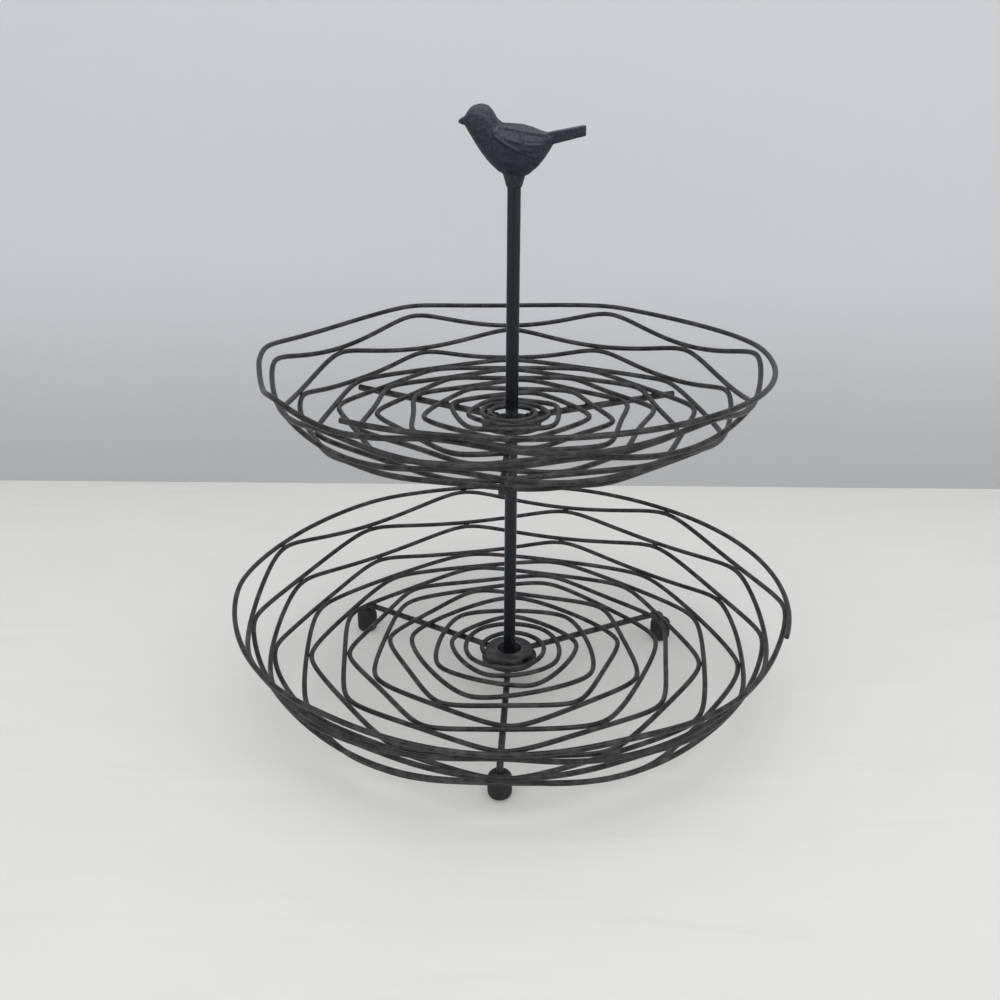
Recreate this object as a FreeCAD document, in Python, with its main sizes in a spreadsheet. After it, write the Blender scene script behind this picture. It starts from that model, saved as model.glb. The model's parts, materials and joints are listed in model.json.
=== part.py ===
"""Two-tier wire basket: two wavy spiral bowls on arms and hub plates, one post, a cast bird on top.

Millimetres. The post's axis is Z, the table is z = 0, +X is to the right and -Y is the front.
"""
import FreeCAD, Part
import math
import os

Vector = FreeCAD.Vector

# Driving sizes: alias, value in millimetres, degrees or counts, what it is
SIZES = [
    ("wire_diameter", 2.5, "spiral wire of both bowls"),
    ("weld_gap", 0.5, "least gap between neighbouring turns, which the welds fill"),
    ("seat_gap", 0.1, "gap between round pieces that are welded one on the other"),
    ("bowl_corner_radius", 8, "bend from floor to wall, at the wire's axis"),
    ("loop_turns", 0.48, "part of a turn on the hub plate before the wire winds outwards"),
    ("close_turns", 1, "close turns round the hub, after the first"),
    ("hub_pitch", 5, "way from one close turn to the next"),
    ("growing_turns", 5, "turns over which the waves grow to their full height"),
    ("bend_softness", 0.1, "how soft each wave top is, in waves"),
    ("inner_waves", 4.5, "waves in a turn near the hub"),
    ("middle_waves", 5.5, "waves in a turn half way out"),
    ("outer_waves", 6.5, "waves in a turn of the outer floor and wall"),
    ("lower_plate_height", 14, "underside of the lower hub plate over the table"),
    ("lower_loop_radius", 15.5, "inner turn of the lower wire"),
    ("lower_first_step", 11, "way from the lower loop to the turn round it"),
    ("lower_floor_radius", 129.5, "corner of floor and wall, lower bowl"),
    ("lower_rim_radius", 150.5, "lower rim"),
    ("lower_rim_height", 60.5, "lower rim over the table"),
    ("lower_turns", 15.4, "turns of the lower wire"),
    ("lower_end_angle", -21, "where the lower wire ends on the rim"),
    ("lower_wave_angle", 47, "a wave top of the lower wire's last turn but one"),
    ("lower_rim_slip", -0.1, "waves by which the lower rim runs ahead"),
    ("lower_leg_radius", 105, "legs of the lower arms"),
    ("upper_plate_height", 154, "underside of the upper hub plate over the table"),
    ("upper_loop_radius", 11.5, "inner turn of the upper wire"),
    ("upper_first_step", 6, "way from the upper loop to the turn round it"),
    ("upper_floor_radius", 108, "corner of floor and wall, upper bowl"),
    ("upper_rim_radius", 130.5, "upper rim"),
    ("upper_rim_height", 192.5, "upper rim over the table"),
    ("upper_turns", 13.5, "turns of the upper wire"),
    ("upper_end_angle", 237, "where the upper wire ends on the rim"),
    ("upper_wave_angle", 62.6, "a wave top of the upper wire's last turn but one"),
    ("upper_rim_slip", 0.5, "waves by which the upper rim runs ahead"),
    ("upper_arm_radius", 102, "outer ends of the upper arms"),
    ("arm_diameter", 3.5, "rods of the arms"),
    ("arm_inner_radius", 9, "inner ends of the arms on their plate"),
    ("arm_bend_radius", 3.5, "bend from arm to leg, at the rod's axis"),
    ("tripod_angle", -92.4, "direction of the front arms"),
    ("foot_diameter", 12, "rubber foot"),
    ("foot_height", 14, "rubber foot"),
    ("foot_chamfer", 2.4, "bevelled edges of the rubber foot"),
    ("foot_sole", 3, "rubber under the leg's end"),
    ("plate_diameter", 31, "hub plates"),
    ("plate_thickness", 2, "hub plates"),
    ("post_diameter", 6.6, "both posts"),
    ("post_top_height", 274, "top of the upper post over the table"),
    ("stud_diameter", 4, "studs and the base screw's shank"),
    ("stud_depth", 12, "stud length in each post's end"),
    ("bore_spare", 2, "bore deeper than its stud"),
    ("fit_clearance", 0.05, "radial play of studs, screw and feet"),
    ("turn_gap", 0.1, "play over the upper hub plate, which turns"),
    ("post_washer_diameter", 26.5, "washer on the lower arms, round the post"),
    ("post_washer_hole", 13.5, "washer on the lower arms, round the post"),
    ("washer_diameter", 13, "washer under the lower hub plate"),
    ("washer_thickness", 1, "both washers"),
    ("screw_head_diameter", 8, "base screw"),
    ("screw_head_height", 3, "base screw"),
    ("bird_length", 59.7, "bird from beak to tail"),
    ("bird_socket_depth", 9, "stud length in the bird"),
]

# Sides of the wire's section, of a lower arm's and of a foot's, and straight runs in an arm's bend
WIRE_SIDES = 8
ARM_SIDES = 12
FOOT_SIDES = 24
ELBOW_RUNS = 2
# Phases of a wave at which the wire bends, in waves: beside its top, at its foot, beside the next top
WAVE_BENDS = (0.09, 0.5, 0.91)
# Least turn, in radians, that counts as a bend of the wire
LEAST_BEND = math.radians(2)
# Shortest run at either end of the wire, in waves
SHORTEST_RUN = 0.12
# Turns at which the wave count changes: shares of the turns, measured from the hub
MIDDLE_WAVES_FROM = 0.28
OUTER_WAVES_FROM = 0.43
# Stretch in which the rim's waves run ahead, in turns
RIM_SLIP_STRETCH = 0.15
# Turns are measured against each other within this many wire thicknesses
NEAR_TURNS = 6
ARM_NAMES = ("front", "right", "left")
ARM_STEP = 120

# The bird as drawn. Each section has its lowest point (x, z) on the breast line, its highest on the back
# line and half its width; heights count from the post's top.
BIRD_SECTIONS = [
    ((-26.5, 28.9), (-26.3, 30.2), 0.7),
    ((-25.2, 28.2), (-25.0, 31.2), 1.6),
    ((-23.5, 27.8), (-23.4, 31.9), 2.4),
    ((-23.0, 26.9), (-22.6, 33.4), 4.0),
    ((-21.6, 24.6), (-20.6, 36.0), 5.9),
    ((-19.8, 21.7), (-18.0, 37.3), 6.9),
    ((-17.6, 18.2), (-15.2, 37.7), 7.5),
    ((-15.4, 15.1), (-12.4, 37.0), 7.9),
    ((-13.0, 12.1), (-10.2, 34.8), 8.2),
    ((-10.6, 9.7), (-8.3, 31.5), 8.7),
    ((-7.8, 7.3), (-5.8, 29.4), 9.4),
    ((-3.8, 5.0), (-1.4, 29.2), 10.3),
    ((1.6, 4.2), (4.0, 28.8), 10.5),
    ((6.6, 5.6), (8.6, 27.5), 9.8),
    ((11.0, 9.2), (12.4, 26.0), 8.0),
    ((14.3, 13.2), (15.0, 25.2), 6.0),
    ((16.8, 17.0), (17.2, 24.9), 4.4),
    ((18.4, 19.9), (18.6, 24.6), 3.4),
]
# Tail: its two ends, each with x, lowest and highest z and half its width
BIRD_TAIL = ((13.5, 18.6, 24.5, 3.4), (33.2, 23.6, 28.2, 4.6))
# Tapered collar: radius on the post, radius in the belly, height
BIRD_COLLAR = (3.7, 5.6, 6.5)
# Folded wing: its front end, the middle of its upper edge, its tip, the middle of its lower edge
BIRD_WING = ((-10.6, 25.0), (2.0, 27.4), (17.0, 22.5), (1.0, 17.2))
BIRD_WING_WIDENING = 1.08
BIRD_WING_REACH = 14.0
OVAL_POINTS = 14

doc = FreeCAD.newDocument("tiered_wire_basket")
sheet = doc.addObject("Spreadsheet::Sheet", "Sizes")
for row, (alias, value, note) in enumerate(SIZES, 1):
    sheet.set(f"A{row}", note)
    sheet.set(f"B{row}", str(value))
    sheet.setAlias(f"B{row}", alias)
doc.recompute()

sub_parts = []


def size(alias):
    """A driving size from the sheet."""
    return float(sheet.get(alias))


def bind(item, **formulas):
    """Ties an object's properties to sheet formulas, where each word in braces is an alias."""
    for name, formula in formulas.items():
        path = name.replace("__", ".")
        item.setExpression(path, formula.replace("{", "Sizes.").replace("}", ""))
    return item


def keep(item, node):
    """Names a finished sub-part, which is written to a file of that name."""
    item.Label = node
    sub_parts.append(item)
    return item


def cylinder(name, diameter, height, bottom):
    """An upright cylinder on the post's axis, with its sizes as sheet formulas."""
    item = doc.addObject("Part::Cylinder", name)
    return bind(item, Radius=f"({diameter}) / 2", Height=height, Placement__Base__z=bottom)


def cut(name, base, tool):
    """The base without the tool."""
    item = doc.addObject("Part::Cut", name)
    item.Base = base
    item.Tool = tool
    return item


def fuse(name, shapes):
    """Several solids as one piece."""
    item = doc.addObject("Part::MultiFuse", name)
    item.Shapes = shapes
    return item


def ring(node, outer, inner, height, bottom):
    """A flat ring, such as a washer or a hub plate, with its sizes as sheet formulas."""
    disc = cylinder(f"{node}_disc", outer, height, bottom)
    hole = cylinder(f"{node}_hole", inner, height, bottom)
    return keep(cut(node, disc, hole), node)


# Heights that follow from the stack on each hub plate

def arm_axis(tier):
    """Axis of a tier's arms, which lie on its hub plate, as a sheet formula."""
    return f"{{{tier}_plate_height}} + {{plate_thickness}} + {{seat_gap}} + {{arm_diameter}} / 2"


def arm_height(tier):
    """The same axis as a number."""
    plate_top = size(f"{tier}_plate_height") + size("plate_thickness")
    return plate_top + size("seat_gap") + size("arm_diameter") / 2


def wire_height(tier):
    """Axis of a tier's wire on its floor, where it lies on the arms."""
    return arm_height(tier) + size("arm_diameter") / 2 + size("seat_gap") + size("wire_diameter") / 2


# The bowls: a wavy spiral wire on a floor, a rounded corner and a sloping wall

def bowl_profile(tier):
    """The bowl's section: the radius and height at each way along it, its flat length, its whole length."""
    corner = size("bowl_corner_radius")
    floor = size(f"{tier}_floor_radius")
    base = wire_height(tier)
    wide = size(f"{tier}_rim_radius") - floor
    high = size(f"{tier}_rim_height") - base
    slope = math.atan2(high, wide)
    flat = floor - corner * math.tan(slope / 2)
    wall_from = flat + corner * slope
    whole = wall_from + math.hypot(wide, high) - corner * math.tan(slope / 2)

    def point(way):
        bend = min(max(way - flat, 0) / corner, slope)
        wall = max(way - wall_from, 0)
        radius = min(way, flat) + corner * math.sin(bend) + wall * math.cos(slope)
        return radius, base + corner * (1 - math.cos(bend)) + wall * math.sin(slope)

    return point, flat, whole


def wave_zones(tier):
    """The turns from which each wave count holds, from the hub's loop outwards."""
    turns = size(f"{tier}_turns")
    ahead = size(f"{tier}_rim_slip") / RIM_SLIP_STRETCH
    return [
        (-size("loop_turns"), size("inner_waves")),
        (turns * MIDDLE_WAVES_FROM, size("middle_waves")),
        (turns * OUTER_WAVES_FROM, size("outer_waves")),
        (turns - 1, size("outer_waves") + ahead),
        (turns - 1 + RIM_SLIP_STRETCH, size("outer_waves")),
        (turns, 0),
    ]


def waves_to(turn, zones):
    """Waves from the wire's start to a turn."""
    pairs = zip(zones, zones[1:])
    return sum((min(max(turn, start), end) - start) * waves for (start, waves), (end, _) in pairs)


def turn_of(wave, zones):
    """The turn at which the wire has made a number of waves."""
    for (start, waves), (end, _) in zip(zones, zones[1:]):
        if wave <= (end - start) * waves:
            return start + wave / waves
        wave -= (end - start) * waves
    return zones[-1][0]


def bend_turns(tier):
    """The turns at which the wire bends, each with its phase in the wave, from the hub to the rim."""
    turns = size(f"{tier}_turns")
    zones = wave_zones(tier)
    back = (size(f"{tier}_wave_angle") - size(f"{tier}_end_angle")) % 360 / 360
    top = waves_to(turns - 1 - back, zones)
    last = waves_to(turns, zones)
    first = math.floor(-top) - 1
    stops = [top + whole + bend for whole in range(first, math.ceil(last - top)) for bend in WAVE_BENDS]
    inside = [stop for stop in stops if SHORTEST_RUN < stop < last - SHORTEST_RUN]
    return [(turn_of(stop, zones), stop - top) for stop in [0.0, *inside, last]]


def wave_shape(phase, softness):
    """Height of a wave, from 0 to 1: long flat feet between soft tops, which lie at whole phases."""
    away = abs(phase - round(phase))
    rounded = math.hypot(away, softness) - softness
    return (1 - rounded / (math.hypot(0.5, softness) - softness)) ** 2


def turn_ways(tier, whole):
    """Two functions of the turn: the way to the waves' feet, and the room up to the next turn out."""
    turns = size(f"{tier}_turns")
    loop = size(f"{tier}_loop_radius")
    step = size(f"{tier}_first_step")
    hub_pitch = size("hub_pitch")
    close = size("close_turns")
    pitch = (whole - loop - step - hub_pitch * close) / (turns - 1 - close)
    spare = size("wire_diameter") + size("weld_gap")

    def foot(turn):
        if turn > turns - 1:
            return whole - pitch * max(turns - turn, 0) ** 2
        first = step * min(max(turn, 0), 1)
        return loop + first + hub_pitch * min(max(turn - 1, 0), close) + pitch * max(turn - 1 - close, 0)

    def room(turn):
        if turn > turns - 1:
            return (pitch - spare) * max(turns - turn, 0) ** 2
        return foot(turn + 1) - foot(turn) - spare

    return foot, room


def wire_points(tier):
    """The wire's bends in space from the hub to the rim, and how many of them lie on the flat floor."""
    point, flat, whole = bowl_profile(tier)
    foot, room = turn_ways(tier, whole)
    points = []
    on_floor = 0
    for turn, phase in bend_turns(tier):
        growth = min(max(turn / size("growing_turns"), 0), 1)
        radius, height = point(foot(turn) + growth * room(turn) * wave_shape(phase, size("bend_softness")))
        angle = math.radians(size(f"{tier}_end_angle") + 360 * (size(f"{tier}_turns") - turn))
        points.append(Vector(radius * math.cos(angle), radius * math.sin(angle), height))
        if foot(turn) < flat:
            on_floor = len(points)
    return points, on_floor


def run_distance(spot, start, end):
    """Distance from a point to a straight run."""
    along = end - start
    share = min(max((spot - start).dot(along) / along.dot(along), 0), 1)
    return (start + along * share - spot).Length


def least_gap(points):
    """Least clear gap between the turns of one wire, from each bend to the runs half a turn or more away."""
    half_turn = int(len(WAVE_BENDS) * size("inner_waves") / 2)
    radii = [math.hypot(spot.x, spot.y) for spot in points]
    near = NEAR_TURNS * size("wire_diameter")
    gaps = []
    for bend, spot in enumerate(points):
        for run in range(len(points) - 1):
            away = run > bend + half_turn or run + 1 < bend - half_turn
            if away and abs(radii[run] - radii[bend]) < near:
                gaps.append(run_distance(spot, points[run], points[run + 1]))
    return min(gaps) - size("wire_diameter")


def bends_of(points):
    """The points of a path without those at which it hardly turns."""
    corners = zip(points, points[1:], points[2:])
    bends = [spot for before, spot, after in corners if (spot - before).getAngle(after - spot) > LEAST_BEND]
    return [points[0], *bends, points[-1]]


def swept(node, points, diameter, sides):
    """A length of wire or rod: a many-sided section swept along straight runs with mitred bends."""
    spine = doc.addObject("Part::Feature", f"{node}_path")
    spine.Shape = Part.makePolygon(bends_of(points))
    section = doc.addObject("Part::RegularPolygon", f"{node}_section")
    section.Polygon = sides
    bind(section, Circumradius=f"{{{diameter}}} / 2")
    run = points[1] - points[0]
    section.Placement = FreeCAD.Placement(points[0], FreeCAD.Rotation(Vector(0, 0, 1), run))
    sweep = doc.addObject("Part::Sweep", node)
    sweep.Sections = [section]
    sweep.Spine = spine
    sweep.Solid = True
    sweep.Transition = "Right corner"
    doc.recompute()
    area = sides / 2 * (size(diameter) / 2) ** 2 * math.sin(2 * math.pi / sides)
    print(node, "volume over section times length", round(sweep.Shape.Volume / area / spine.Shape.Length, 5))
    return keep(sweep, node)


def basket_wire(tier):
    """One tier's spiral wire, parted where the floor turns up into the wall."""
    points, on_floor = wire_points(tier)
    print(tier, "wire's least gap to itself", round(least_gap(points), 3))
    seam = (points[on_floor - 1] + points[on_floor]) * 0.5
    swept(f"{tier}_basket_floor", points[:on_floor] + [seam], "wire_diameter", WIRE_SIDES)
    swept(f"{tier}_basket_wall", [seam] + points[on_floor:], "wire_diameter", WIRE_SIDES)


# The arms under each bowl and the rubber feet on the lower ones

def straight_arm(name, number):
    """A straight round rod under the upper bowl, from the hub plate outwards."""
    node = f"upper_arm_{name}"
    heading = f"{{tripod_angle}} + {ARM_STEP} * {number}"
    angle = math.radians(size("tripod_angle") + ARM_STEP * number)
    rod = doc.addObject("Part::Cylinder", node)
    rod.Placement.Rotation = FreeCAD.Rotation(Vector(0, 0, 1), Vector(math.cos(angle), math.sin(angle), 0))
    bind(rod, Radius="{arm_diameter} / 2", Height="{upper_arm_radius} - {arm_inner_radius}",
         Placement__Base__x=f"{{arm_inner_radius}} * cos({heading})",
         Placement__Base__y=f"{{arm_inner_radius}} * sin({heading})",
         Placement__Base__z=arm_axis("upper"))
    keep(rod, node)


def bent_arm(name, number):
    """A round rod under the lower bowl, bent down at its outer end into a leg that stands in a foot."""
    heading = math.radians(size("tripod_angle") + ARM_STEP * number)
    bend = size("arm_bend_radius")
    axis = arm_height("lower")
    centre = size("lower_leg_radius") - bend
    elbow = [math.pi / 2 * run / ELBOW_RUNS for run in range(ELBOW_RUNS + 1)]
    route = [(size("arm_inner_radius"), axis)]
    route += [(centre + bend * math.sin(turn), axis - bend + bend * math.cos(turn)) for turn in elbow]
    route += [(size("lower_leg_radius"), size("foot_sole"))]
    out = Vector(math.cos(heading), math.sin(heading), 0)
    points = [out * radius + Vector(0, 0, height) for radius, height in route]
    swept(f"lower_arm_{name}", points, "arm_diameter", ARM_SIDES)


def foot(name, number):
    """A bevelled rubber foot pushed onto a lower arm's leg."""
    node = f"foot_{name}"
    block = doc.addObject("Part::Prism", f"{node}_block")
    block.Polygon = FOOT_SIDES
    bind(block, Circumradius="{foot_diameter} / 2", Height="{foot_height}")
    doc.recompute()
    bevel = size("foot_chamfer")
    edges = enumerate(block.Shape.Edges, 1)
    whole = doc.addObject("Part::Chamfer", f"{node}_whole")
    whole.Base = block
    whole.Edges = [(index, bevel, bevel) for index, edge in edges if abs(edge.tangentAt(0).z) < 0.5]
    bore = cylinder(f"{node}_bore", "{arm_diameter} + 2 * {fit_clearance}", "{foot_height}", "{foot_sole}")
    piece = keep(cut(node, whole, bore), node)
    heading = f"{{tripod_angle}} + {ARM_STEP} * {number}"
    bind(piece, Placement__Base__x=f"{{lower_leg_radius}} * cos({heading})",
         Placement__Base__y=f"{{lower_leg_radius}} * sin({heading})")


def tripods():
    """Three arms under each bowl, a third of a turn apart, and a foot on each lower leg."""
    for number, name in enumerate(ARM_NAMES):
        bent_arm(name, number)
        straight_arm(name, number)
        foot(name, number)


# The hub plates, posts and fasteners on the axis

def hub_plates():
    """The two flat plates that the arms are welded on, each with a hole for a stud or screw."""
    for tier in ("lower", "upper"):
        hole = "{stud_diameter} + 2 * {fit_clearance}"
        ring(f"{tier}_hub_plate", "{plate_diameter}", hole, "{plate_thickness}", f"{{{tier}_plate_height}}")


def post(node, bottom, top):
    """A round post with a bore in each end for a stud."""
    rod = cylinder(f"{node}_rod", "{post_diameter}", f"{top} - ({bottom})", bottom)
    bore = "{stud_diameter} + 2 * {fit_clearance}"
    depth = "{stud_depth} + {bore_spare}"
    low = cylinder(f"{node}_low_bore", bore, depth, bottom)
    high = cylinder(f"{node}_high_bore", bore, depth, f"{top} - ({depth})")
    return keep(cut(node, rod, fuse(f"{node}_bores", [low, high])), node)


def posts_and_fasteners():
    """The lower post on its base screw, the upper post on its stud, the bird's stud and the washers."""
    post_foot = "{lower_plate_height} + {plate_thickness}"
    upper_foot = "{upper_plate_height} + {plate_thickness} + {turn_gap}"
    hole = "{stud_diameter} + 2 * {fit_clearance}"
    arm_top = f"{arm_axis('lower')} + {{arm_diameter}} / 2 + {{seat_gap}}"
    head_top = "{lower_plate_height} - {washer_thickness}"
    ring("post_washer", "{post_washer_diameter}", "{post_washer_hole}", "{washer_thickness}", arm_top)
    ring("base_washer", "{washer_diameter}", hole, "{washer_thickness}", head_top)
    post("lower_post", post_foot, "{upper_plate_height}")
    post("upper_post", upper_foot, "{post_top_height}")

    head_bottom = f"{head_top} - {{screw_head_height}}"
    head = cylinder("base_screw_head", "{screw_head_diameter}", "{screw_head_height}", head_bottom)
    length = f"{post_foot} + {{stud_depth}} - ({head_top})"
    shank = cylinder("base_screw_shank", "{stud_diameter}", length, head_top)
    keep(fuse("base_screw", [head, shank]), "base_screw")

    stud_bottom = "{upper_plate_height} - {stud_depth}"
    length = f"{upper_foot} + {{stud_depth}} - ({stud_bottom})"
    keep(cylinder("joining_stud", "{stud_diameter}", length, stud_bottom), "joining_stud")
    stud_bottom = "{post_top_height} - {stud_depth}"
    length = "{stud_depth} + {bird_socket_depth}"
    keep(cylinder("finial_stud", "{stud_diameter}", length, stud_bottom), "finial_stud")


# The cast bird on the upper post

def oval(low, high, half_width):
    """A closed oval across the bird, from a point of its breast line to a point of its back line."""
    centre = (low + high) * 0.5
    rise = (high - low) * 0.5
    across = Vector(0, half_width, 0)
    angles = [2 * math.pi * point / OVAL_POINTS for point in range(OVAL_POINTS)]
    spots = [centre + across * math.cos(a) + rise * math.sin(a) for a in angles]
    return Part.makePolygon([*spots, spots[0]])


def bird_scale():
    """The bird's size against its drawing, from the beak's tip to the tail's end."""
    return size("bird_length") / (BIRD_TAIL[1][0] - BIRD_SECTIONS[0][0][0])


def bird_point(x, z, y=0.0):
    """A point of the bird as drawn, at its real size and place."""
    return Vector(x, y, z) * bird_scale() + Vector(0, 0, size("post_top_height"))


def bird_body():
    """Beak, head and body as one loft, from the beak's tip to the root of the tail."""
    scale = bird_scale()
    ovals = [oval(bird_point(*low), bird_point(*high), half * scale) for low, high, half in BIRD_SECTIONS]
    return Part.makeLoft(ovals, True, True)


def bird_tail():
    """A flat squared tail, from inside the rump to its end."""
    ends = []
    for x, low, high, half in BIRD_TAIL:
        corners = [bird_point(x, z, y) for y, z in ((-half, low), (half, low), (half, high), (-half, high))]
        ends.append(Part.makePolygon([*corners, corners[0]]))
    return Part.makeLoft(ends, True, True)


def bird_wings(body):
    """The folded wings: the body widened a little, within the wing's outline seen from the side."""
    front, upper, tip, lower = [bird_point(*spot) for spot in BIRD_WING]
    outline = Part.Wire([Part.Arc(front, upper, tip).toShape(), Part.Arc(tip, lower, front).toShape()])
    reach = bird_point(0, 0, BIRD_WING_REACH) - bird_point(0, 0)
    face = Part.Face(outline)
    face.translate(-reach)
    widened = FreeCAD.Matrix()
    widened.scale(1, BIRD_WING_WIDENING, 1)
    return face.extrude(reach * 2).common(body.transformGeometry(widened))


def bird():
    """A perched bird facing -X, cast in one with a tapered collar, with a blind bore for its stud."""
    body = doc.addObject("Part::Feature", "bird_body")
    body.Shape = bird_body()
    wings = doc.addObject("Part::Feature", "bird_wings")
    wings.Shape = bird_wings(body.Shape)
    tail = doc.addObject("Part::Feature", "bird_tail")
    tail.Shape = bird_tail()

    collar = doc.addObject("Part::Cone", "bird_collar")
    collar.Radius1, collar.Radius2, collar.Height = [length * bird_scale() for length in BIRD_COLLAR]
    bind(collar, Placement__Base__z="{post_top_height}")

    whole = fuse("bird_whole", [body, wings, tail, collar])
    bore = "{stud_diameter} + 2 * {fit_clearance}"
    socket = cylinder("bird_socket", bore, "{bird_socket_depth} + {fit_clearance}", "{post_top_height}")
    keep(cut("bird_finial", whole, socket), "bird_finial")


basket_wire("lower")
basket_wire("upper")
tripods()
hub_plates()
posts_and_fasteners()
bird()
doc.recompute()

for item in doc.Objects:
    if "Invalid" in item.State or "Error" in item.State:
        raise RuntimeError(f"{item.Name} failed: {item.State}")
for item in sub_parts:
    if item.Shape.isNull() or not item.Shape.isValid() or not item.Shape.Solids:
        raise RuntimeError(f"{item.Label} has no valid solid")

os.makedirs("parts", exist_ok=True)
for item in sub_parts:
    item.Shape.exportStep(f"parts/{item.Label}.step")
print(len(sub_parts), "sub-parts written")
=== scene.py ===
"""Looks of a two-tier wire basket: round wavy wire bowls with their weld beads, a cast bird with raised lines
on its wings, coated arms, plates and posts, rubber feet, plated screws and a threaded stud, on a pale table
before a pale wall.
"""
import json
import math

import bmesh
import bpy
from bpy.props import FloatProperty, FloatVectorProperty, IntProperty, PointerProperty
from mathutils import Matrix, Vector
from mathutils.bvhtree import BVHTree


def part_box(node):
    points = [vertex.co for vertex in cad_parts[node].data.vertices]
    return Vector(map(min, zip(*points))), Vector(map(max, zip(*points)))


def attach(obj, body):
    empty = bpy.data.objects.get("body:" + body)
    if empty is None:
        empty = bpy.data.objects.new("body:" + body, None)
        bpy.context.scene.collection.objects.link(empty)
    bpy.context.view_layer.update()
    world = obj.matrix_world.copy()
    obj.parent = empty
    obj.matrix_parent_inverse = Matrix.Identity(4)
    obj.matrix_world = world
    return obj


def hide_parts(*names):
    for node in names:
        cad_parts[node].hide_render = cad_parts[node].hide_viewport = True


bl_info = {
    "name": "Tiered wire basket",
    "version": (1, 0, 0),
    "blender": (4, 5, 0),
    "location": "View3D > Sidebar > Basket",
    "description": "Wire bowls, weld beads, cast bird and finishes of a two-tier basket",
    "category": "Object",
}

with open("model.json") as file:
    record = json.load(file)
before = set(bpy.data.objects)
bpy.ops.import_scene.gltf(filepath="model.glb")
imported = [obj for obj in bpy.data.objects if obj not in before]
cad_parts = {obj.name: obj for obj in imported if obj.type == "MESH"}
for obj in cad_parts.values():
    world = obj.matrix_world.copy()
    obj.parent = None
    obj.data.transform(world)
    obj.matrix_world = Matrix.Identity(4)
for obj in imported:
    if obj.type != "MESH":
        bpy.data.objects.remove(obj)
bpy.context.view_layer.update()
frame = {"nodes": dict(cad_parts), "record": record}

ARM_SIDES = ("front", "right", "left")
TIERS = ("lower", "upper")
# Shares of a bowl's turns at which the number of waves in a turn changes
MIDDLE_WAVES_FROM = 0.28
OUTER_WAVES_FROM = 0.43
# Stretch in which the rim's waves run ahead, in turns
RIM_SLIP_STRETCH = 0.15
# Way from a wave's top to its foot, in waves
HALF_WAVE = 0.5
# Faces that meet at more than this angle have a sharp edge between them
SHARP_EDGE = math.radians(50)
# Roundness of a wire's section, as the bevel resolution of a curve
WIRE_ROUNDNESS = 3
# A bead's half sizes along the wire, across it and in height, in half widths of a bead
TURN_BEAD = (2.6, 1.0, 0.9)
ARM_BEAD = (1.3, 1.5, 0.6)
# Stretch at an arm's outer end that has no bead, in half widths of a bead
BARE_ARM_END = 4
# Rounds of subdivision of the ball that a bead is made from
BEAD_ROUNDS = 2
# Points that lie closer than this become one, in metres: in the bird's solid and in spun pieces
CASTING_MERGE = 0.00002
SPUN_MERGE = 0.000004
# Share of the way to its neighbours that a point of the bird moves in one round of smoothing
SMOOTHING_SHARE = 0.5
# Turns of thread that are cut off at the stud's lower end, and about as many at its upper end
THREAD_SPARE = 1.9
# Raised lines of each wing: start, middle and end, along the bird and up from its collar's foot, in metres
WING_LINES = (
    ((-0.0069, 0.0274), (-0.0104, 0.0243), (-0.0114, 0.0205)),
    ((-0.0069, 0.0274), (0.0030, 0.0256), (0.0150, 0.0237)),
    ((-0.0098, 0.0238), (-0.0018, 0.0187), (0.0098, 0.0143)),
    ((0.0028, 0.0256), (0.0040, 0.0208), (0.0050, 0.0160)),
    ((-0.0030, 0.0222), (0.0060, 0.0197), (0.0140, 0.0200)),
)
# Tint of the sheen on the posts and the bird
COOL_SHEEN = (0.8, 0.86, 1.0)
# Limits between which most of a noise's values lie
NOISE_LOW = 0.3
NOISE_HIGH = 0.7
# How often the cloth's creases change along X, Y and Z
CREASES = (1.5, 6, 1)
# Half the width of the table and of the wall, in metres
STAGE_REACH = 6.0
# Sizes and places of the overhead lamp and the windows, in metres, and the height that they aim at
LAMP_SIZE = (1.2, 1.2)
LAMP_PLACE = (0.1, -0.5, 1.2)
WINDOW_SIZE = (0.5, 1.3)
WINDOW_DISTANCE = 1.5
WINDOW_HEIGHT = 0.8
AIM_HEIGHT = 0.1
# Angle in which a window's light fans out
WINDOW_SPREAD = math.radians(130)
# Tint of the even light, and the Y of the directions between which it fades from the dark room to the sky
SKY_TINT = (0.98, 0.985, 1.0)
ROOM_UP_TO = -0.97
SKY_FROM = -0.8
# Width of the camera's frame, in millimetres
FRAME_WIDTH = 36


# Sizes and colours that a user would change

def length(name, description, default):
    """A size in metres."""
    return FloatProperty(name=name, description=description, default=default, precision=4, subtype="DISTANCE")


def count(name, description, default):
    """A number of turns or waves."""
    return FloatProperty(name=name, description=description, default=default)


def whole(name, description, default, least):
    """A whole number of points, runs or rounds."""
    return IntProperty(name=name, description=description, default=default, min=least)


def angle(name, description, degrees):
    """A direction or a tilt."""
    return FloatProperty(name=name, description=description, default=math.radians(degrees), subtype="ANGLE")


def colour(name, description, default):
    """A surface colour."""
    return FloatVectorProperty(name=name, description=description, default=default, size=3, min=0, max=1,
                               subtype="COLOR")


def power(name, description, default):
    """A lamp's power in watts."""
    return FloatProperty(name=name, description=description, default=default, unit="POWER")


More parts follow.
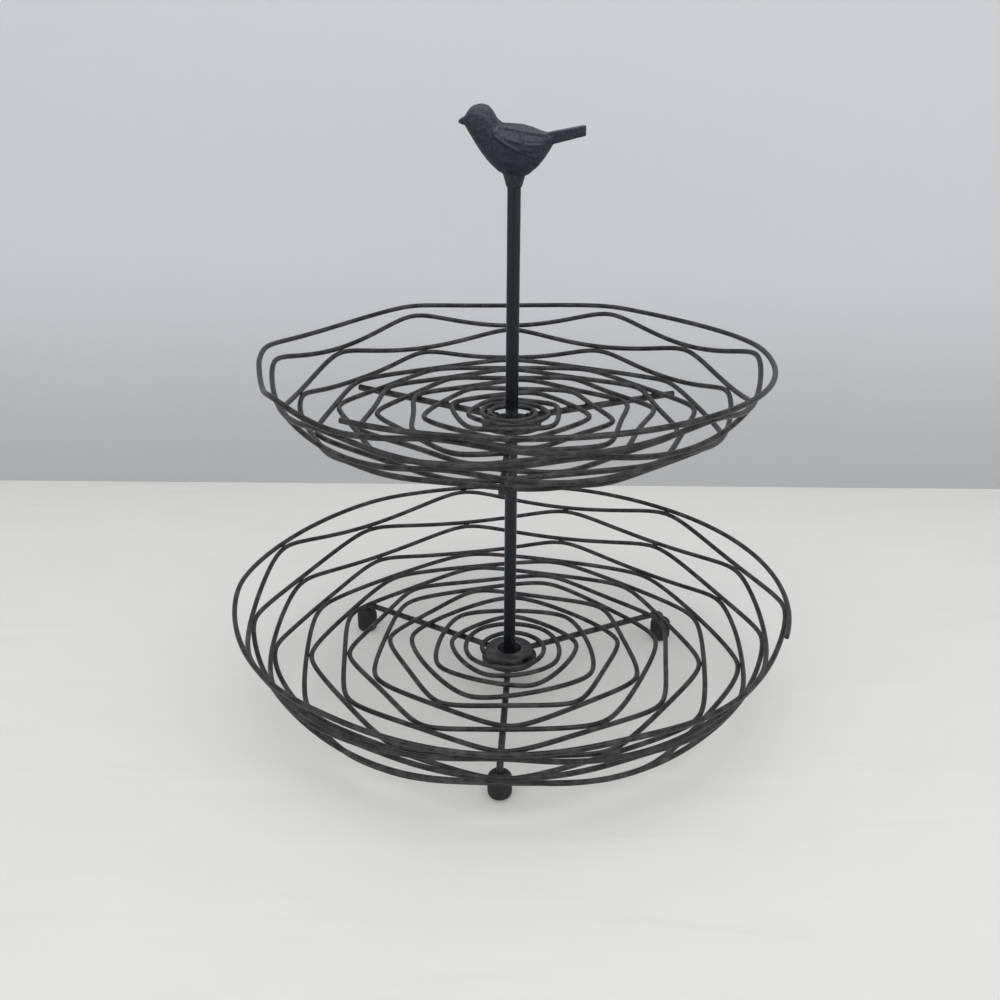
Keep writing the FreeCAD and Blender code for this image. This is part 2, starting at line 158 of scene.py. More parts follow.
class WireSettings(bpy.types.PropertyGroup):
    """The wire that both bowls are wound from."""
    diameter: length("Wire", "Diameter of the spiral wire with its coat", 0.0027)
    weld_gap: length("Weld gap", "Least gap between turns, filled by a weld", 0.0001)
    corner_radius: length("Corner", "Bend from floor to wall", 0.008)
    loop_turns: count("Hub loop", "Part of a turn on the hub plate", 0.48)
    close_turns: count("Close turns", "Close turns round the hub, after the first", 1)
    hub_pitch: length("Hub pitch", "Way from one close turn to the next", 0.005)
    growing_turns: count("Growing turns", "Turns over which the waves grow to their full height", 5)
    softness: count("Softness", "How soft each wave top is, in waves", 0.1)
    inner_waves: count("Inner waves", "Waves in a turn near the hub", 4.5)
    middle_waves: count("Middle waves", "Waves in a turn half way out", 5.5)
    outer_waves: count("Outer waves", "Waves in a turn of the outer floor and wall", 6.5)
    steps: whole("Steps", "Points of the wire in one wave", 32, 8)
    bead: length("Weld bead", "Half width of a weld bead", 0.0008)


class LowerBowl(bpy.types.PropertyGroup):
    """Sizes of the lower bowl's wire."""
    loop_radius: length("Hub loop", "Inner turn of the wire", 0.0155)
    first_step: length("First step", "Way from the loop to the turn round it", 0.011)
    floor_radius: length("Floor", "Corner of floor and wall", 0.1295)
    rim_radius: length("Rim", "Radius of the rim", 0.1505)
    rim_height: length("Rim height", "Rim over the table", 0.0605)
    turns: count("Turns", "Turns of the wire", 15.4)
    end_angle: angle("End", "Where the wire ends on the rim", -21)
    wave_angle: angle("Wave", "A wave top of the last turn but one", 47)
    rim_slip: count("Rim slip", "Waves by which the rim runs ahead", -0.1)


class UpperBowl(bpy.types.PropertyGroup):
    """Sizes of the upper bowl's wire."""
    loop_radius: length("Hub loop", "Inner turn of the wire", 0.0115)
    first_step: length("First step", "Way from the loop to the turn round it", 0.006)
    floor_radius: length("Floor", "Corner of floor and wall", 0.108)
    rim_radius: length("Rim", "Radius of the rim", 0.1305)
    rim_height: length("Rim height", "Rim over the table", 0.1925)
    turns: count("Turns", "Turns of the wire", 13.5)
    end_angle: angle("End", "Where the wire ends on the rim", 237)
    wave_angle: angle("Wave", "A wave top of the last turn but one", 62.6)
    rim_slip: count("Rim slip", "Waves by which the rim runs ahead", 0.5)


class BirdSettings(bpy.types.PropertyGroup):
    """How the cast bird is smoothed, and the relief on its wings."""
    grain: length("Grain", "Mesh size of the casting", 0.0004)
    smoothing: whole("Smoothing", "Rounds of smoothing over the joins", 7, 0)
    ridge: length("Ridge", "Thickness of the raised lines on the wings", 0.0012)
    line_steps: whole("Line steps", "Runs in a raised line", 14, 2)


class TripodSettings(bpy.types.PropertyGroup):
    """The lower arms' round rods and their rubber feet."""
    rod: length("Rod", "Diameter of the arms' rods", 0.0035)
    inner_radius: length("Inner ends", "Inner ends of the arms on their plate", 0.009)
    bend_radius: length("Bend", "Bend from arm to leg, at the rod's axis", 0.0035)
    foot_rounding: length("Rounding", "Rounded edges of a foot", 0.0034)
    foot_bore: length("Bore", "Diameter of a foot's bore", 0.0036)
    arc_steps: whole("Arc steps", "Runs in each quarter of an arc", 8, 2)
    foot_steps: whole("Foot steps", "Runs round a foot", 48, 12)


class ThreadSettings(bpy.types.PropertyGroup):
    """The thread of the stud between the posts."""
    pitch: length("Pitch", "Rise of the thread in one turn", 0.0007)
    depth: length("Depth", "Depth of the thread", 0.0004)
    sides: whole("Sides", "Points round the stud", 36, 8)


class FinishSettings(bpy.types.PropertyGroup):
    """Colours of the finishes."""
    coat: colour("Coat", "Powder coat of the wire, arms and plates", (0.008, 0.0078, 0.0082))
    coat_worn: colour("Worn coat", "Paler specks of the powder coat", (0.074, 0.072, 0.071))
    post: colour("Post", "Satin black of the posts", (0.004, 0.005, 0.010))
    cast: colour("Cast", "Painted casting of the bird", (0.010, 0.012, 0.020))
    # Paler colour of the casting: real wear on its pebbled high spots, and painted top light where the bird
    # faces up
    cast_worn_and_top_light: colour("Worn cast", "Rubbed back and high spots of the casting", (0.068, 0.072, 0.078))
    rubber: colour("Rubber", "Feet", (0.012, 0.012, 0.012))
    plated: colour("Plated steel", "Screw, washer and studs", (0.55, 0.54, 0.52))
    table: colour("Table", "Cloth on the table", (0.775, 0.77, 0.75))
    wall: colour("Wall", "Wall behind the table", (0.64, 0.65, 0.675))
    # Painted shade: a darker colour for the wall's foot, where the corner with the table lies in shade
    shaded_wall_foot: colour("Wall's foot", "Darker wall just over the table", (0.50, 0.505, 0.515))


class StageSettings(bpy.types.PropertyGroup):
    """Camera, table and light."""
    lens: FloatProperty(name="Lens", description="Focal length for the frame's width", default=37.95,
                        unit="CAMERA")
    camera_place: FloatVectorProperty(name="Camera", description="Where the camera stands",
                                      default=(-0.0022, -0.5226, 0.3298), precision=4, subtype="TRANSLATION")
    camera_pitch: angle("Pitch", "How far the camera looks down", 22.63)
    camera_yaw: angle("Yaw", "How far the camera looks to the left", 0.4)
    camera_roll: angle("Roll", "How far the camera leans", 0.35)
    wall_distance: length("Wall", "Wall behind the post's axis", 0.302)
    # Height up to which the wall's foot carries painted shade
    wall_shade_height: length("Wall fade", "Height at which the wall has its full colour", 0.2)
    lamp_power: power("Lamp", "Power of the overhead lamp", 7.0)
    window_power: power("Windows", "Power of each window", 1.9)
    window_angle: angle("Window angle", "Each window's angle from the camera's side", 47)
    sky: FloatProperty(name="Sky", description="Strength of the even light", default=0.66)
    room: FloatProperty(name="Room", description="Strength of the light from behind the camera", default=0.15)


# Plain sums

def clamp(value, low, high):
    """A value kept between two limits."""
    return min(max(value, low), high)


def times(values, factor):
    """The channels of a colour, or other values, each multiplied by one factor."""
    return [value * factor for value in values]


# The wire's path: floor, rounded corner and wall, with waves that meet the next turn

def floor_height(tier):
    """Height of the wire's axis on a bowl's floor."""
    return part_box(f"{tier}_basket_floor")[0].z + bpy.context.scene.basket_wire.diameter / 2


def bowl_profile(tier):
    """The bowl's section as a function from the way along it to (radius, height), and its whole length."""
    bowl = getattr(bpy.context.scene, f"basket_{tier}")
    corner = bpy.context.scene.basket_wire.corner_radius
    base = floor_height(tier)
    wide = bowl.rim_radius - bowl.floor_radius
    high = bowl.rim_height - base
    slope = math.atan2(high, wide)
    flat = bowl.floor_radius - corner * math.tan(slope / 2)
    wall_from = flat + corner * slope
    whole_way = wall_from + math.hypot(wide, high) - corner * math.tan(slope / 2)

    def point(way):
        bend = clamp((way - flat) / corner, 0, slope)
        wall = max(way - wall_from, 0)
        radius = min(way, flat) + corner * math.sin(bend) + wall * math.cos(slope)
        return radius, base + corner * (1 - math.cos(bend)) + wall * math.sin(slope)

    return point, whole_way


class BowlWire:
    """One bowl's wire: where it lies at each wave and at each turn."""

    def __init__(self, tier):
        wire = bpy.context.scene.basket_wire
        bowl = getattr(bpy.context.scene, f"basket_{tier}")
        self.wire = wire
        self.bowl = bowl
        self.point, self.whole_way = bowl_profile(tier)
        self.zones = [
            (-wire.loop_turns, wire.inner_waves),
            (bowl.turns * MIDDLE_WAVES_FROM, wire.middle_waves),
            (bowl.turns * OUTER_WAVES_FROM, wire.outer_waves),
            (bowl.turns - 1, wire.outer_waves + bowl.rim_slip / RIM_SLIP_STRETCH),
            (bowl.turns - 1 + RIM_SLIP_STRETCH, wire.outer_waves),
            (bowl.turns, 0),
        ]
        hub = bowl.loop_radius + bowl.first_step + wire.hub_pitch * wire.close_turns
        self.pitch = (self.whole_way - hub) / (bowl.turns - 1 - wire.close_turns)
        self.spare = wire.diameter + wire.weld_gap
        back = (bowl.wave_angle - bowl.end_angle) % math.tau / math.tau
        self.top_wave = self.waves_to(bowl.turns - 1 - back)
        self.last_wave = self.waves_to(bowl.turns)

    def waves_to(self, turn):
        """Waves from the wire's start to a turn."""
        pairs = zip(self.zones, self.zones[1:])
        return sum((clamp(turn, start, end) - start) * waves for (start, waves), (end, _) in pairs)

    def turn_of(self, wave):
        """The turn at which the wire has made a number of waves."""
        for (start, waves), (end, _) in zip(self.zones, self.zones[1:]):
            if wave <= (end - start) * waves:
                return start + wave / waves
            wave -= (end - start) * waves
        return self.zones[-1][0]

    def wave_shape(self, wave):
        """Height of the wire in its wave, from 0 to 1: long flat feet between soft tops."""
        soft = self.wire.softness
        phase = wave - self.top_wave
        from_top = math.hypot(phase - round(phase), soft) - soft
        at_foot = math.hypot(HALF_WAVE, soft) - soft
        return (1 - from_top / at_foot) ** 2

    def foot(self, turn):
        """The way along the bowl's section at the feet of the waves."""
        left = max(self.bowl.turns - turn, 0)
        if left < 1:
            return self.whole_way - self.pitch * left ** 2
        close = self.wire.close_turns
        near = self.bowl.first_step * clamp(turn, 0, 1)
        near += self.wire.hub_pitch * clamp(turn - 1, 0, close)
        return self.bowl.loop_radius + near + self.pitch * max(turn - 1 - close, 0)

    def room(self, turn):
        """The height of a full wave, up to the next turn out."""
        left = max(self.bowl.turns - turn, 0)
        if left < 1:
            return (self.pitch - self.spare) * left ** 2
        return self.foot(turn + 1) - self.foot(turn) - self.spare

    def gap_out(self, turn):
        """The clear gap to the next turn out."""
        inner = self.way(turn, self.waves_to(turn))
        outer = self.way(turn + 1, self.waves_to(turn + 1))
        return outer - inner - self.wire.diameter

    def way(self, turn, wave):
        """The way along the bowl's section at a turn, with the wave that it has there."""
        growth = clamp(turn / self.wire.growing_turns, 0, 1)
        return self.foot(turn) + growth * self.room(turn) * self.wave_shape(wave)

    def direction(self, turn):
        """The angle of a turn seen from above."""
        return self.bowl.end_angle + math.tau * (self.bowl.turns - turn)

    def at(self, way, turn):
        """A place on the bowl's surface."""
        radius, height = self.point(way)
        around = self.direction(turn)
        return Vector((radius * math.cos(around), radius * math.sin(around), height))

    def path(self):
        """Points along the whole wire, from the hub to the rim."""
        steps = round(self.last_wave * self.wire.steps)
        waves = [self.last_wave * step / steps for step in range(steps + 1)]
        turns = [self.turn_of(wave) for wave in waves]
        return [self.at(self.way(turn, wave), turn) for turn, wave in zip(turns, waves)]


# Shared helpers for pieces

def add_object(name, data):
    """A new object at the origin, linked to the scene."""
    item = bpy.data.objects.new(name, data)
    bpy.context.scene.collection.objects.link(item)
    return item


def shade_smooth(mesh):
    """Smooth faces, with sharp edges where they meet at a large angle."""
    for face in mesh.polygons:
        face.use_smooth = True
    mesh.set_sharp_from_angle(angle=SHARP_EDGE)


def mesh_object(name, bm):
    """A new smooth object from a bmesh, with faces that point outwards."""
    bmesh.ops.recalc_face_normals(bm, faces=bm.faces)
    mesh = bpy.data.meshes.new(name)
    bm.to_mesh(mesh)
    bm.free()
    shade_smooth(mesh)
    return add_object(name, mesh)


def applied(item):
    """The object with its modifiers or curve made into a plain mesh."""
    bpy.context.view_layer.update()
    evaluated = item.evaluated_get(bpy.context.evaluated_depsgraph_get())
    mesh = bpy.data.meshes.new_from_object(evaluated)
    name = item.name
    bpy.data.objects.remove(item)
    mesh.name = name
    shade_smooth(mesh)
    return add_object(name, mesh)


def round_wire(name, points, diameter):
    """A round wire through close points."""
    curve = bpy.data.curves.new(name, "CURVE")
    curve.dimensions = "3D"
    curve.bevel_depth = diameter / 2
    curve.bevel_resolution = WIRE_ROUNDNESS
    curve.use_fill_caps = True
    spline = curve.splines.new("POLY")
    spline.points.add(len(points) - 1)
    for spot, control in zip(points, spline.points):
        control.co = (*spot, 1)
    return applied(add_object(name, curve))


def dress(item, material):
    """Gives an object one material."""
    item.data.materials.clear()
    item.data.materials.append(material)


def tier_body(tier):
    """The body that carries a tier's bowl."""
    return "base" if tier == "lower" else "upper_basket"


def arm_direction(tier, side):
    """The direction of an arm seen from above, from the middle of its box."""
    near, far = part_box(f"{tier}_arm_{side}")
    middle = (near + far) / 2
    return math.atan2(middle.y, middle.x)


def arm_reach(tier, side):
    """How far an arm reaches from the post's axis, from the longer side of its box."""
    heading = arm_direction(tier, side)
    longer = max(abs(size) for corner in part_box(f"{tier}_arm_{side}") for size in corner.xy)
    return longer / max(abs(math.cos(heading)), abs(math.sin(heading)))


# Shader groups and materials

def new_group(name, inputs, outputs):
    """An empty shader group with named number inputs and outputs."""
    group = bpy.data.node_groups.new(name, "ShaderNodeTree")
    for label, default in inputs.items():
        socket = group.interface.new_socket(label, in_out="INPUT", socket_type="NodeSocketFloat")
        socket.default_value = default
    for label in outputs:
        group.interface.new_socket(label, in_out="OUTPUT", socket_type="NodeSocketFloat")
    start = group.nodes.new("NodeGroupInput")
    end = group.nodes.new("NodeGroupOutput")
    return group, start, end


def combine(tree, operation, first, second):
    """Two values of a surface worked out into one."""
    node = tree.nodes.new("ShaderNodeMath")
    node.operation = operation
    tree.links.new(first, node.inputs[0])
    tree.links.new(second, node.inputs[1])
    return node.outputs["Value"]


def remap(tree, value, start, end, low=0, high=1, curve="SMOOTHSTEP"):
    """A value that goes from low to high as another goes from start to end."""
    node = tree.nodes.new("ShaderNodeMapRange")
    node.interpolation_type = curve
    limits = {"From Min": start, "From Max": end, "To Min": low, "To Max": high}
    for label, limit in limits.items():
        node.inputs[label].default_value = limit
    tree.links.new(value, node.inputs["Value"])
    return node.outputs["Result"]


def coordinate(tree, space, axis):
    """One coordinate of a place on a surface, or of a direction in the sky."""
    place = tree.nodes.new("ShaderNodeTexCoord")
    axes = tree.nodes.new("ShaderNodeSeparateXYZ")
    tree.links.new(place.outputs[space], axes.inputs["Vector"])
    return axes.outputs[axis]


def grain_group():
    """Fine grain of a coat and its slow mottling, both from the surface's own place."""
    name = "Coat grain"
    if name in bpy.data.node_groups:
        return bpy.data.node_groups[name]
    group, start, end = new_group(name, {"Grain scale": 1500.0, "Mottle scale": 90.0}, ("Grain", "Mottle"))
    place = group.nodes.new("ShaderNodeTexCoord")
    grain = group.nodes.new("ShaderNodeTexNoise")
    grain.inputs["Detail"].default_value = 3
    mottle = group.nodes.new("ShaderNodeTexNoise")
    mottle.inputs["Detail"].default_value = 4
    mottle.inputs["Roughness"].default_value = 0.65
    for texture, label in ((grain, "Grain"), (mottle, "Mottle")):
        group.links.new(place.outputs["Object"], texture.inputs["Vector"])
        group.links.new(start.outputs[f"{label} scale"], texture.inputs["Scale"])
        group.links.new(texture.outputs["Fac"], end.inputs[label])
    return group


def pebble_group():
    """Pebbled skin of a sand casting: rounded lumps with worn tops."""
    name = "Cast pebble"
    if name in bpy.data.node_groups:
        return bpy.data.node_groups[name]
    group, start, end = new_group(name, {"Scale": 700.0}, ("Height", "Worn"))
    place = group.nodes.new("ShaderNodeTexCoord")
    lumps = group.nodes.new("ShaderNodeTexVoronoi")
    lumps.feature = "SMOOTH_F1"
    lumps.inputs["Smoothness"].default_value = 0.7
    warp = group.nodes.new("ShaderNodeTexNoise")
    warp.inputs["Detail"].default_value = 5
    for texture in (lumps, warp):
        group.links.new(place.outputs["Object"], texture.inputs["Vector"])
        group.links.new(start.outputs["Scale"], texture.inputs["Scale"])
    rise = combine(group, "SUBTRACT", warp.outputs["Fac"], lumps.outputs["Distance"])
    worn = combine(group, "MULTIPLY", rise, warp.outputs["Fac"])
    group.links.new(rise, end.inputs["Height"])
    group.links.new(worn, end.inputs["Worn"])
    return group


def place_group(tree, group, **values):
    """A shader group in a material, with its own values."""
    node = tree.nodes.new("ShaderNodeGroup")
    node.node_tree = group
    for label, value in values.items():
        node.inputs[label.replace("_", " ").capitalize()].default_value = value
    return node


def new_material(name, sheen=0.5, sheen_tint=(1, 1, 1), metallic=0):
    """A material with only its Principled shader, and its parts."""
    material = bpy.data.materials.new(name)
    material.use_nodes = True
    tree = material.node_tree
    shader = tree.nodes["Principled BSDF"]
    shader.inputs["Specular IOR Level"].default_value = sheen
    shader.inputs["Specular Tint"].default_value = (*sheen_tint, 1)
    shader.inputs["Metallic"].default_value = metallic
    return material, tree, shader


def blend_colours(tree, shader, mask, first, second, low=0, high=1):
    """Base colour that goes from one colour to another as a mask rises."""
    ramp = tree.nodes.new("ShaderNodeValToRGB")
    ramp.color_ramp.elements[0].position = low
    ramp.color_ramp.elements[1].position = high
    ramp.color_ramp.elements[0].color = (*first, 1)
    ramp.color_ramp.elements[1].color = (*second, 1)
    tree.links.new(mask, ramp.inputs["Fac"])
    tree.links.new(ramp.outputs["Color"], shader.inputs["Base Color"])


def vary_roughness(tree, shader, noise, low, high):
    """Roughness that follows a noise."""
    spread = remap(tree, noise, NOISE_LOW, NOISE_HIGH, low, high, curve="LINEAR")
    tree.links.new(spread, shader.inputs["Roughness"])


def raise_surface(tree, shader, height, distance, strength):
    """Bump from a height."""
    bump = tree.nodes.new("ShaderNodeBump")
    bump.inputs["Distance"].default_value = distance
    bump.inputs["Strength"].default_value = strength
    tree.links.new(height, bump.inputs["Height"])
    tree.links.new(bump.outputs["Normal"], shader.inputs["Normal"])


def speckled(name, colours, scales, blend, roughness, bump, **surface):
    """A finish whose mottling sets its colour and roughness, and whose grain raises its surface.

    Each value is a pair: two colours, the scales of grain and mottling, the mottling up to which the surface
    has the first colour and from which it has the second, the least and the most roughness, and the bump's
    distance and strength.
    """
    material, tree, shader = new_material(name, **surface)
    grain_scale, mottle_scale = scales
    grain = place_group(tree, grain_group(), grain_scale=grain_scale, mottle_scale=mottle_scale)
    blend_colours(tree, shader, grain.outputs["Mottle"], *colours, *blend)
    vary_roughness(tree, shader, grain.outputs["Mottle"], *roughness)
    raise_surface(tree, shader, grain.outputs["Grain"], *bump)
    return material


def coat_material():
    """Satin graphite powder coat with fine grain and paler specks."""
    finish = bpy.context.scene.basket_finish
    return speckled("graphite_powder_coat", colours=(finish.coat, finish.coat_worn), scales=(2200, 160),
                    blend=(0.42, 0.78), roughness=(0.34, 0.5), bump=(0.0001, 0.5), sheen=0.34)


def post_material():
    """Satin black of the posts, smoother than the wire."""
    black = bpy.context.scene.basket_finish.post
    paler = times(black, 1.6)
    return speckled("satin_black_post", colours=(black, paler), scales=(1800, 60), blend=(0.4, 0.75),
                    roughness=(0.25, 0.36), bump=(0.00006, 0.4), sheen=0.52, sheen_tint=COOL_SHEEN)


def rubber_material():
    """Matt black rubber with a moulded grain."""
    rubber = bpy.context.scene.basket_finish.rubber
    paler = times(rubber, 2)
    return speckled("foot_rubber", colours=(rubber, paler), scales=(1600, 140), blend=(0.4, 0.8),
                    roughness=(0.68, 0.85), bump=(0.00012, 0.5))


def plated_material():
    """Dull plated steel of the screw, washer and studs."""
    steel = bpy.context.scene.basket_finish.plated
    duller = times(steel, 0.7)
    return speckled("plated_steel", colours=(duller, steel), scales=(3000, 400), blend=(0.35, 0.75),
                    roughness=(0.28, 0.42), bump=(0.00004, 0.3), metallic=1)


def mark_tops(mesh):
    """Stores how far each point of a mesh faces up, for the painted top light of the casting."""
    marks = mesh.attributes.new("facing_up", "FLOAT", "POINT")
    marks.data.foreach_set("value", [max(spot.normal.z, 0) for spot in mesh.vertices])


def painted_top_light_mask(tree, start, end, amount):
    """A mask of painted top light, which rises to an amount where the marked surface faces up."""
    marks = tree.nodes.new("ShaderNodeAttribute")
    marks.attribute_name = "facing_up"
    return remap(tree, marks.outputs["Fac"], start, end, high=amount)


def cast_material():
    """Pebbled painted casting, worn on its high spots, and paler where it faces up: painted top light."""
    finish = bpy.context.scene.basket_finish
    material, tree, shader = new_material("pebbled_casting", sheen_tint=COOL_SHEEN)
    pebble = place_group(tree, pebble_group(), scale=900)
    # Painted top light: the casting's colour turns paler where it faces up, as if lit from above
    back = painted_top_light_mask(tree, start=0.2, end=0.9, amount=0.4)
    # Wear of the pebbled high spots together with the painted top light
    wear_and_top_light = combine(tree, "ADD", pebble.outputs["Worn"], back)
    blend_colours(tree, shader, wear_and_top_light, finish.cast, finish.cast_worn_and_top_light, low=0.02, high=0.6)
    mottle = place_group(tree, grain_group(), mottle_scale=120).outputs["Mottle"]
    vary_roughness(tree, shader, mottle, low=0.45, high=0.68)
    raise_surface(tree, shader, pebble.outputs["Height"], distance=0.0005, strength=0.6)
    return material


def clear_from_behind(tree, shader):
    """Lets the view pass through the back of a stage surface."""
    side = tree.nodes.new("ShaderNodeNewGeometry")
    clear = tree.nodes.new("ShaderNodeBsdfTransparent")
    mix = tree.nodes.new("ShaderNodeMixShader")
    tree.links.new(side.outputs["Backfacing"], mix.inputs["Fac"])
    tree.links.new(shader.outputs["BSDF"], mix.inputs[1])
    tree.links.new(clear.outputs["BSDF"], mix.inputs[2])
    tree.links.new(mix.outputs["Shader"], tree.nodes["Material Output"].inputs["Surface"])


def stage_material(name):
    """A plain surface that shows on its front only, with the noise that its roughness follows."""
    material, tree, shader = new_material(name, sheen=0.2)
    mottle = place_group(tree, grain_group(), mottle_scale=4).outputs["Mottle"]
    vary_roughness(tree, shader, mottle, low=0.8, high=0.9)
    clear_from_behind(tree, shader)
    return material, tree, shader, mottle


def cloth_material():
    """A pale table cloth with soft creases along the table."""
    cloth = bpy.context.scene.basket_finish.table
    material, tree, shader, mottle = stage_material("table_cloth")
    darker = times(cloth, 0.97)
    blend_colours(tree, shader, mottle, darker, cloth, NOISE_LOW, NOISE_HIGH)
    place = tree.nodes.new("ShaderNodeTexCoord")
    stretch = tree.nodes.new("ShaderNodeMapping")
    stretch.inputs["Scale"].default_value = CREASES
    creases = tree.nodes.new("ShaderNodeTexNoise")
    creases.inputs["Distortion"].default_value = 0.6
    tree.links.new(place.outputs["Object"], stretch.inputs["Vector"])
    tree.links.new(stretch.outputs["Vector"], creases.inputs["Vector"])
    raise_surface(tree, shader, creases.outputs["Fac"], distance=0.004, strength=0.35)
    return material


def wall_material():
    """A painted wall with painted shade that darkens it towards the table."""
    finish = bpy.context.scene.basket_finish
    material, tree, shader, _ = stage_material("painted_wall")
    # Painted shade at the foot of the wall, which fades out with height
    rise = remap(tree, coordinate(tree, "Object", "Z"), 0, bpy.context.scene.basket_stage.wall_shade_height)
    blend_colours(tree, shader, rise, finish.shaded_wall_foot, finish.wall)
    return material


# Operators, one for each piece or group of pieces

class BASKET_OT_bowl_wires(bpy.types.Operator):
    """Winds the round wavy wires of both bowls"""
    bl_idname = "basket.bowl_wires"
    bl_label = "Bowl wires"

    def execute(self, context):
        coat = coat_material()
        for tier in TIERS:
            piece = round_wire(f"{tier}_bowl_wire", BowlWire(tier).path(), context.scene.basket_wire.diameter)
            dress(piece, coat)
            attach(piece, tier_body(tier))
            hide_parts(f"{tier}_basket_floor", f"{tier}_basket_wall")
        return {"FINISHED"}


class BASKET_OT_weld_beads(bpy.types.Operator):
    """Sets weld beads where the turns meet and where the wire crosses the arms"""
    bl_idname = "basket.weld_beads"
    bl_label = "Weld beads"

    def execute(self, context):
        for tier in TIERS:
            bm = bmesh.new()
            wire = BowlWire(tier)
            self.between_turns(bm, wire)
            self.on_arms(bm, wire, tier)
            piece = mesh_object(f"{tier}_bowl_welds", bm)
            dress(piece, bpy.data.materials["graphite_powder_coat"])
            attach(piece, tier_body(tier))
        return {"FINISHED"}

    def between_turns(self, bm, wire):
        """A long bead at each wave top that reaches the next turn."""
        first = math.ceil(-wire.top_wave)
        last = math.floor(wire.last_wave - wire.top_wave)
        for number in range(first, last + 1):
            wave = wire.top_wave + number
            turn = wire.turn_of(wave)
            if turn > wire.bowl.turns - 1 or wire.gap_out(turn) > wire.wire.bead:
                continue
            way = wire.way(turn, wave)
            half = (wire.wire.diameter + wire.gap_out(turn)) / 2
            out = wire.at(way + 2 * half, turn) - wire.at(way, turn)
            self.bead(bm, wire.at(way + half, turn), wire.direction(turn), out, TURN_BEAD)

    def on_arms(self, bm, wire, tier):
        """A flat bead wherever the wire crosses an arm."""
        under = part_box(f"{tier}_basket_floor")[0].z
        for side in ARM_SIDES:
            heading = arm_direction(tier, side)
            out = Vector((math.cos(heading), math.sin(heading), 0))
            reach = arm_reach(tier, side) - wire.wire.bead * BARE_ARM_END
            turn = wire.bowl.turns - (heading - wire.bowl.end_angle) % math.tau / math.tau
            while turn > 0:
                way = wire.way(turn, wire.waves_to(turn))
                if way < reach:
                    place = wire.at(way, turn)
                    place.z = under
                    self.bead(bm, place, heading, out, ARM_BEAD)
                turn -= 1

    def bead(self, bm, place, around, out, shares):
        """A bead at a place, long in the direction round the post and wide in the direction out."""
        width = bpy.context.scene.basket_wire.bead
        along = Vector((-math.sin(around), math.cos(around), 0))
        up = along.cross(out).normalized()
        axes = Matrix((along, out.normalized(), up)).transposed().to_4x4()
        sizes = Matrix.Diagonal((*times(shares, width), 1))
        matrix = Matrix.Translation(place) @ axes @ sizes
        bmesh.ops.create_icosphere(bm, subdivisions=BEAD_ROUNDS, radius=1, matrix=matrix)


class BASKET_OT_bird(bpy.types.Operator):
    """Casts the bird: one smooth skin over its body, head, beak, wings and collar"""
    bl_idname = "basket.bird"
    bl_label = "Cast bird"

    def execute(self, context):
        settings = context.scene.basket_bird
        bm = bmesh.new()
        bm.from_mesh(frame["nodes"]["bird_finial"].data)
        bmesh.ops.remove_doubles(bm, verts=bm.verts, dist=CASTING_MERGE)
        self.wing_relief(bm, settings)
        bird = self.smooth_skin(mesh_object("cast_bird", bm), settings)
        # Marks where the bird faces up, for the painted top light of its casting
        mark_tops(bird.data)
        dress(bird, cast_material())
        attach(bird, "finial")
        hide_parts("bird_finial")
        return {"FINISHED"}

    def wing_relief(self, bm, settings):
        """Adds the raised lines of both wings, half sunk in the body."""
        body = BVHTree.FromBMesh(bm)
        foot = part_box("bird_finial")[0].z
        for side in (-1, 1):
            inwards = Vector((0, -side, 0))
            for places in WING_LINES:
                spots = []
                for step in range(settings.line_steps + 1):
                    along, up = self.on_arc(places, step / settings.line_steps)
                    beside = Vector((along, 0, foot + up)) - inwards
                    spots.append(body.ray_cast(beside, inwards)[0])
                line = round_wire("wing_line", [spot for spot in spots if spot], settings.ridge)
                bm.from_mesh(line.data)
                bpy.data.objects.remove(line)

    def on_arc(self, places, share):
        """A place at a share of the way along the arc through a start, a middle and an end."""
        start, middle, end = map(Vector, places)
        bulge = middle - (start + end) / 2
        return start.lerp(end, share) + bulge * 4 * share * (1 - share)

    def smooth_skin(self, bird, settings):
        """The bird under one closed skin, smoothed over its joins."""
        skin = bird.modifiers.new("skin", "REMESH")
        skin.mode = "VOXEL"
        skin.voxel_size = settings.grain
        soften = bird.modifiers.new("soften", "SMOOTH")
        soften.factor = SMOOTHING_SHARE
        soften.iterations = settings.smoothing
        return applied(bird)


